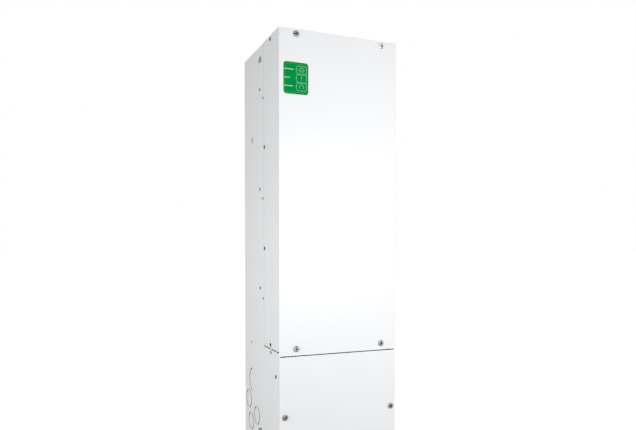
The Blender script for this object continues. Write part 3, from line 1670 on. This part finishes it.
@dataclass
class PowerSection:
    """The heat sink, both boards with their parts, the magnetics and the bulk capacitors."""

    wire: float = 0.0011
    turns: int = 34
    turn_pitch: float = 9.6
    inner_radius: float = 0.0140
    end_inset: float = 0.0020
    end_half_gap: float = 0.0045
    end_shift: float = 0.0030
    bobbin_flange: float = 0.0016
    link_x: float = -0.0300
    link_low: float = 0.6300
    link_high: float = 0.6580
    link_pitch: float = 0.0038
    link_wire: float = 0.0008
    link_stub: float = 0.0030
    link_start: float = 0.0085
    plug_half: tuple[float, float] = (0.0100, 0.0026)
    plug_out: float = 0.0055
    plug_in: float = 0.0040
    screw_inset: float = 0.0045

    def build(self) -> None:
        """Builds the power section."""
        refined("heat_sink", EXTRUSION, 0.0004)
        for board in ("power_board", "control_board"):
            refined(board, SOLDER_MASK, 0.0002)
        for moulding in ("left_power_module", "right_power_module", "control_board_spacer"):
            refined(moulding, BLACK_MOULDING, 0.0006)
        self.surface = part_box("power_board")[0].y
        self.bulk_capacitors()
        for node in ("inductor_left", "inductor_right"):
            self.toroid(node)
        self.transformer()
        self.power_parts()
        self.control_parts()
        self.board_link()
        self.board_screws()

    def bulk_capacitors(self) -> None:
        """Three sleeved cans that stand off the power board."""
        low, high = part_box("bulk_capacitor_1")
        can = PartsBin().can((high.x - low.x) / 2, high.y - low.y)
        for number in range(1, 4):
            node = f"bulk_capacitor_{number}"
            seat = middle_of(node)
            seat.y = high.y
            made = copy_of(can, node + "_can", placed(seat, Facing.FRONT, 40.0 * number))
            hand_over(made, Body.CHASSIS, replaces=[node])
        bpy.data.objects.remove(can)

    def toroid(self, node: str) -> Object:
        """A ring core wound with enamelled wire, with its two ends brought to the board.

        Args:
            node: The node that it stands for.

        Returns:
            The wound core.
        """
        low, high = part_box(node)
        wire = self.wire
        inner = self.inner_radius + wire
        outer = (high.x - low.x) / 2 - wire
        half = (high.y - low.y) / 2 - wire
        thick = wire * 0.85
        core = drum("core", outer, 2 * half, (0, 0, 0), sides=64)
        carve(core, drum("bore", inner, 4 * half, (0, 0, 0), sides=64))
        pieces = [paint(soften(core, 0.0018, 3, 50.0), FERRITE)]
        turn = block("turn", (inner - wire, -thick, -half - wire), (outer + wire, thick, half + wire))
        carve(turn, block("inside", (inner, -1, -half), (outer, 1, half)))
        paint(soften(turn, wire * 0.6, 3), ENAMELLED_WIRE)
        angles = [math.radians(number * self.turn_pitch) for number in range(self.turns)]
        pieces.append(repeat(turn, "turns", [Matrix.Rotation(angle, 4, "Z") for angle in angles]))
        reach = half + wire
        for side in SIDES:
            y = side * self.end_half_gap - self.end_shift
            end = drum("end", wire, reach, (outer - self.end_inset, y, -reach / 2), sides=16)
            pieces.append(paint(soften(end, wire * 0.3), ENAMELLED_WIRE))
        ring = join(node + "_wound", pieces)
        ring.data.transform(placed(middle_of(node), Facing.FRONT, -60.0))
        return hand_over(ring, Body.CHASSIS, replaces=[node])

    def transformer(self) -> None:
        """A ferrite core round a taped coil on a flanged bobbin."""
        refined("transformer_core", FERRITE, 0.0008)
        low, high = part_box("transformer_winding")
        flange = self.bobbin_flange
        coil = block("transformer_coil", low, high)
        for z in (low.z + flange, high.z - flange):
            slice_mesh(coil, (0, 0, z), (0, 0, 1))

        def between(middle: Vector, normal: Vector) -> bool:
            """Whether a face is a side of the coil between its flanges."""
            return abs(normal.z) < 0.1 and low.z + flange < middle.z < high.z - flange

        with editing(coil, between):
            bpy.ops.mesh.extrude_region_shrink_fatten(TRANSFORM_OT_shrink_fatten={"value": -0.0012})
        paint(soften(coil, 0.0005), BLACK_MOULDING)
        taped = (low.z + flange * 1.3, high.z - flange * 1.3)
        paint(coil, TAPE, lambda middle, normal: taped[0] < middle.z < taped[1])
        hand_over(coil, Body.CHASSIS, replaces=["transformer_winding"])

    def power_parts(self) -> None:
        """The loose parts on the power board."""
        parts = PartsBin()
        surface = self.surface
        film = [
            (parts.brick(0.026, 0.042, 0.026, FILM_BOX), [(0.064, 0.600)]),
            (parts.brick(0.026, 0.012, 0.018, FILM_BOX), [(-0.055, 0.462), (0.055, 0.462), (0.055, 0.446)]),
        ]
        populate("film_capacitors", surface, film)
        relay = parts.brick(0.019, 0.028, 0.022, BLACK_MOULDING)
        populate("relays", surface, [(relay, row(-0.066, 0.024, 3, 0.335))])
        populate("fuses", surface, [(parts.fuse(0.038, 0.0052), row(-0.068, 0.016, 2, 0.418))])
        absorber = parts.disc(0.0075, 0.0045, SLEEVE)
        populate("surge_absorbers", surface, [(absorber, row(-0.070, 0.020, 4, 0.370))])
        drivers = [
            (parts.chip(0.0100, 0.0075, 0.0024), row(0.020, 0.025, 3, 0.378)),
            (parts.chip(0.0050, 0.0040, 0.0016), row(0.020, 0.025, 3, 0.360)),
            (parts.tiny(), row(0.012, 0.006, 11, 0.348)),
        ]
        populate("gate_drivers", surface, drivers)
        small_can = parts.can(0.0050, 0.0120)
        can_spots = [(0.048, 0.418), (0.062, 0.418), (0.075, 0.418), (0.075, 0.404)]
        populate("small_capacitors", surface, [(small_can, can_spots)])
        plugs = [(parts.header(5), [(self.link_x, self.link_low), (0.014, 0.568)])]
        populate("power_connectors", surface, plugs)
        resistors = [
            (parts.resistor(0.0064, 0.0015), [(0.014, 0.327 + 0.005 * number) for number in range(4)]),
            (parts.resistor(0.0110, 0.0024), row(-0.062, 0.022, 2, 0.474) + row(0.036, 0.022, 2, 0.474)),
        ]
        populate("power_resistors", surface, resistors)
        tracks = [
            (parts.track(0.0660, 0.0042), [(-0.040, 0.3890), (0.044, 0.3890)]),
            (parts.track(0.0300, 0.0034), [(-0.058, 0.4480), (-0.024, 0.4600), (0.060, 0.4350)]),
            (parts.track(0.0340, 0.0044), [(-0.060, 0.5700), (-0.020, 0.5700), (0.056, 0.5700)]),
            (parts.track(0.0044, 0.0500), [(-0.0785, 0.5200), (0.0785, 0.5200), (0.0000, 0.5000)]),
            (parts.track(0.0180, 0.0180), [(0.036, 0.3060), (0.068, 0.3060)]),
        ]
        populate("power_tracks", surface, tracks)

    def control_parts(self) -> None:
        """The parts on the control board."""
        parts = PartsBin()
        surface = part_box("control_board")[0].y
        chips = [
            (parts.chip(0.0140, 0.0140, 0.0016, pitch=0.0008), [(-0.018, 0.690)]),
            (parts.chip(0.0075, 0.0050, 0.0016), [(0.012, 0.702), (0.012, 0.684), (0.028, 0.702)]),
            (parts.tiny(), row(-0.040, 0.005, 9, 0.672)),
            (parts.tiny(BLACK_MOULDING), row(-0.040, 0.005, 7, 0.708)),
            (parts.brick(0.0110, 0.0045, 0.0035, TIN), [(-0.038, 0.690)]),
        ]
        populate("control_chips", surface, chips)
        plugs = [
            (parts.header(8), [(-0.055, 0.722), (0.020, 0.722)]),
            (parts.header(5, BLACK_MOULDING), [(x, self.link_high) for x in (-0.060, self.link_x, 0.040)]),
        ]
        populate("control_connectors", surface, plugs)
        can_spots = row(0.050, 0.012, 2, 0.700) + row(0.050, 0.012, 2, 0.686)
        populate("control_capacitors", surface, [(parts.can(0.0040, 0.0100), can_spots)])

    def board_link(self) -> Object:
        """Five wires that arch from a plug on the power board to one on the control board.

        Returns:
            The wires with their two plugs.
        """
        low, high = self.link_low, self.link_high
        middle = (low + high) / 2
        mouth = self.surface - PartsBin().header_rise
        start = mouth - self.link_start
        stub = self.link_stub
        half_x, half_z = self.plug_half
        pieces = []
        for z in (low, high):
            corner = (self.link_x - half_x, mouth - self.plug_out, z - half_z)
            housing = block("link_plug", corner, (self.link_x + half_x, mouth + self.plug_in, z + half_z))
            pieces.append(paint(soften(housing, 0.0004), CREAM_MOULDING))

        def upper_end(spot: Vector, normal: Vector) -> bool:
            """Whether a face closes the upper end of a wire."""
            return normal.y > ALONG and abs(spot.z - high) < self.link_wire

        for number, finish in enumerate((FILM_BOX, BLACK_MOULDING, TAPE, CREAM_MOULDING, SLEEVE)):
            x = self.link_x + (number - 2) * self.link_pitch
            wire = drum("link_wire", self.link_wire, stub, (x, start + stub / 2, low), Facing.FRONT, 12)
            with editing(wire, FRONTWARD):
                bpy.ops.mesh.spin(steps=20, angle=math.pi, center=(x, start, middle), axis=(1, 0, 0))
            extrude(wire, upper_end, (0, stub, 0))
            pieces.append(paint(shade(wire), finish))
        return hand_over(join("board_link_wires", pieces), Body.CHASSIS)

    def board_screws(self) -> None:
        """Screws at the corners of both boards."""
        places = []
        for node in ("power_board", "control_board"):
            low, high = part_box(node)
            for x in (low.x + self.screw_inset, high.x - self.screw_inset):
                for z in (low.z + self.screw_inset, high.z - self.screw_inset):
                    places.append(placed((x, low.y, z), Facing.FRONT, 700.0 * (x + z)))
        screw_set("board_screws", driven_head(0.0028, 0.0018, Drive.CROSS), places)


# ---------------------------------------------------------------- inside: fan


@dataclass
class Fan:
    """The axial fan under the heat sink: its frame, its turning rotor and its fixings."""

    corner: float = 0.0357
    hub: float = 0.0160
    plate: float = 0.0004

    def build(self) -> None:
        """Builds the fan."""
        refined("fan_frame", BLACK_MOULDING, 0.0004)
        refined("fan_rotor", FAN_MOULDING, body=Body.FAN_ROTOR)
        middle = middle_of("fan_frame")
        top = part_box("fan_frame")[1].z
        places = []
        for side in SIDES:
            for y in (middle.y - self.corner, middle.y + self.corner):
                places.append(placed((middle.x + side * self.corner, y, top), Facing.UP, 50.0 * side))
        screw_set("fan_screws", driven_head(0.0034, 0.0022, Drive.CROSS), places)
        centre = (middle.x, middle.y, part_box("fan_rotor")[1].z + self.plate / 2)
        cap = drum("fan_hub_badge", self.hub * 0.82, self.plate, centre)
        inset(cap, UPWARD, self.hub * 0.12)
        hand_over(soften(cap, 0.0001), Body.FAN_ROTOR, TIN)


# ---------------------------------------------------------------- inside: wiring compartment


@dataclass
class WiringCompartment:
    """Terminal blocks, ground bar, sockets, the pluggable connector and the bus bars."""

    poles: int = 3
    well_rise: float = 0.0060
    well_depth: float = 0.0070
    groove_half: float = 0.0005
    groove_depth: float = 0.0020
    ground_pitch: float = 0.0140
    ground_first: float = -0.0750
    contact_pitch: float = 0.00102
    contact_half: float = 0.00022
    contact_reach: float = 0.0090
    contact_sheet: float = 0.0004
    contact_spring: float = 0.0022
    contact_y: float = 0.0045
    contact_drop: float = 0.0060
    aux_pitch: float = 0.0080
    aux_first: float = 0.0360
    aux_screw_y: float = 0.0050
    bolt_drop: float = 0.0085

    def build(self) -> None:
        """Builds the wiring compartment."""
        for node in ("pv_terminal_block", "battery_terminal_block"):
            self.terminal_block(node)
        self.ground_bar()
        for node in ("network_jack_left", "network_jack_right"):
            self.jack(node)
        self.auxiliary()
        self.bus_bars()

    def terminal_block(self, node: str) -> Object:
        """A moulded block with grooves between its poles, wells over its clamp screws, and the screws.

        Args:
            node: The node that it stands for.

        Returns:
            The block.
        """
        low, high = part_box(node)
        pitch = (high.x - low.x) / self.poles
        centres = [low.x + pitch * (number + 0.5) for number in range(self.poles)]
        well_z = (low.z + high.z) / 2 + self.well_rise
        body = welded(node)
        for x in centres:
            carve(body, drum("well", 0.0062, 2 * self.well_depth, (x, low.y, well_z), Facing.FRONT))
        for number in range(1, self.poles):
            x = low.x + pitch * number
            corner = (x - self.groove_half, low.y - 1, low.z - 1)
            groove = block("groove", corner, (x + self.groove_half, low.y + self.groove_depth, high.z + 1))
            carve(body, groove)
        paint(soften(body, 0.0004), BLACK_MOULDING)
        seat_y = low.y + self.well_depth
        places = [placed((x, seat_y, well_z), Facing.FRONT, 900.0 * x) for x in centres]
        screw_set(node + "_clamp_screws", driven_head(0.0052, 0.0030, Drive.SLOT), places, TIN)
        body.name = node + "_moulding"
        return hand_over(body, Body.CHASSIS, replaces=[node])

    def ground_bar(self) -> None:
        """A drilled bar with a slotted screw over each hole."""
        refined("ground_bar", BUS_COPPER, 0.0004)
        face_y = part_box("ground_bar")[0].y
        middle_z = middle_of("ground_bar").z
        places = []
        for number in range(5):
            seat = (self.ground_first + self.ground_pitch * number, face_y, middle_z)
            places.append(placed(seat, Facing.FRONT, 37.0 * number))
        screw_set("ground_screws", driven_head(0.0036, 0.0020, Drive.SLOT), places)

    def jack(self, node: str) -> None:
        """A moulded network socket with its row of sprung gold contacts.

        Args:
            node: The node that it stands for.
        """
        refined(node, BLACK_MOULDING)
        low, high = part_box(node)
        half = self.contact_half
        contact = block("contact", (-half, 0.0, 0.0), (half, self.contact_reach, self.contact_sheet))
        shift(contact, REARWARD, (0.0, 0.0, self.contact_spring))
        soften(contact, 0.00008)
        corner = Vector((middle_of(node).x, low.y + self.contact_y, high.z - self.contact_drop))
        steps = [Vector(((number - 3.5) * self.contact_pitch, 0.0, 0.0)) for number in range(8)]
        places = [Matrix.Translation(corner + step) for step in steps]
        hand_over(repeat(contact, node + "_contacts", places), Body.CHASSIS, GOLD)

    def auxiliary(self) -> None:
        """The five-way socket and its plug, which pulls out towards the front."""
        refined("aux_socket", GREEN_MOULDING)
        refined("aux_plug", GREEN_MOULDING, body=Body.AUX_PLUG)
        low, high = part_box("aux_plug")
        places = []
        for number in range(5):
            seat = (self.aux_first + self.aux_pitch * number, low.y + self.aux_screw_y, high.z)
            places.append(placed(seat, Facing.UP, 61.0 * number))
        screw_set("aux_plug_screws", driven_head(0.0021, 0.0006, Drive.SLOT), places, TIN, Body.AUX_PLUG)

    def bus_bars(self) -> None:
        """Two bent bars down from the power board, bolted at the top."""
        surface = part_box("power_board")[0].y
        places = []
        for node in ("positive_bus", "negative_bus"):
            refined(node, BUS_COPPER, 0.0004)
            seat = (middle_of(node).x, surface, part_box(node)[1].z - self.bolt_drop)
            places.append(placed(seat, Facing.FRONT, 20.0))
        screw_set("bus_bolts", hex_bolt(0.0045, 0.0030), places)


# ---------------------------------------------------------------- studio


@dataclass
class Studio:
    """A plain pale floor, soft light, and the camera."""

    eye: tuple[float, float, float] = (-0.4316, -1.0463, 0.3945)
    yaw: float = 22.637
    pitch: float = -1.268
    lens: float = 33.94
    shift_up: float = 0.0723
    floor_size: float = 60.0
    backdrop: float = 1.0
    ambient: float = 0.50

    def build(self) -> None:
        """Builds the studio."""
        self.camera()
        self.floor()
        self.surroundings()
        self.panel_light("key", (0.16, -0.86, 0.45), (0.0, -0.10, 0.45), 0.5, 4.15)
        self.panel_light("left_fill", (-0.81, -0.22, 0.33), (-0.10, -0.05, 0.33), 0.4, 2.42)

    def camera(self) -> None:
        """The camera: level but for a slight dip, with its frame shifted up."""
        data = bpy.data.cameras.new("camera")
        data.lens = self.lens
        data.shift_y = self.shift_up
        data.dof.use_dof = False
        obj = bpy.data.objects.new("camera", data)
        obj.location = self.eye
        obj.rotation_euler = (math.pi / 2 + math.radians(self.pitch), 0.0, -math.radians(self.yaw))
        bpy.context.scene.collection.objects.link(obj)
        bpy.context.scene.camera = obj

    def floor(self) -> None:
        """A wide pale floor that lights up a little from its own bounce."""
        bpy.ops.mesh.primitive_plane_add(size=self.floor_size)
        floor = paint(settle("floor"), FLOOR_WHITE)
        floor.visible_diffuse = False
        floor.visible_glossy = False

    def surroundings(self) -> None:
        """Even white surroundings, brighter where they are the backdrop."""
        world = bpy.data.worlds.new("surroundings")
        bpy.context.scene.world = world
        world.use_nodes = True
        tree = world.node_tree
        white = (1.0, 1.0, 1.0, 1.0)
        backdrop = feed(tree.nodes["Background"], Color=white, Strength=self.backdrop)
        ambient = add_node(tree, "Background", Color=white, Strength=self.ambient)
        mix = add_node(tree, "MixShader", Fac=add_node(tree, "LightPath").outputs["Is Camera Ray"])
        tree.links.new(ambient.outputs["Background"], mix.inputs[1])
        tree.links.new(backdrop.outputs["Background"], mix.inputs[2])
        feed(tree.nodes["World Output"], Surface=mix.outputs["Shader"])
        bpy.context.scene.view_settings.view_transform = "Standard"

    def panel_light(self, name: str, spot: Point, aim: Point, size: float, watts: float) -> None:
        """A large soft light, aimed at a point.

        Args:
            name: The light's name.
            spot: Where it stands.
            aim: The point it looks at.
            size: The side of its square panel.
            watts: Its power.
        """
        data = bpy.data.lights.new(name, "AREA")
        data.size = size
        data.energy = watts
        obj = bpy.data.objects.new(name, data)
        obj.location = spot
        obj.rotation_euler = (Vector(aim) - Vector(spot)).to_track_quat("-Z", "Y").to_euler()
        bpy.context.scene.collection.objects.link(obj)


def main() -> None:
    """Builds the studio and each sub-assembly."""
    logging.basicConfig(level=logging.INFO, format="%(name)s: %(message)s")
    bpy.ops.object.select_all(action="DESELECT")
    parts = (Studio, CaseShell, Fasteners, IndicatorPanel, Structure, PowerSection, Fan, WiringCompartment)
    for part in parts:
        part().build()


if __name__ == "__main__":
    main()
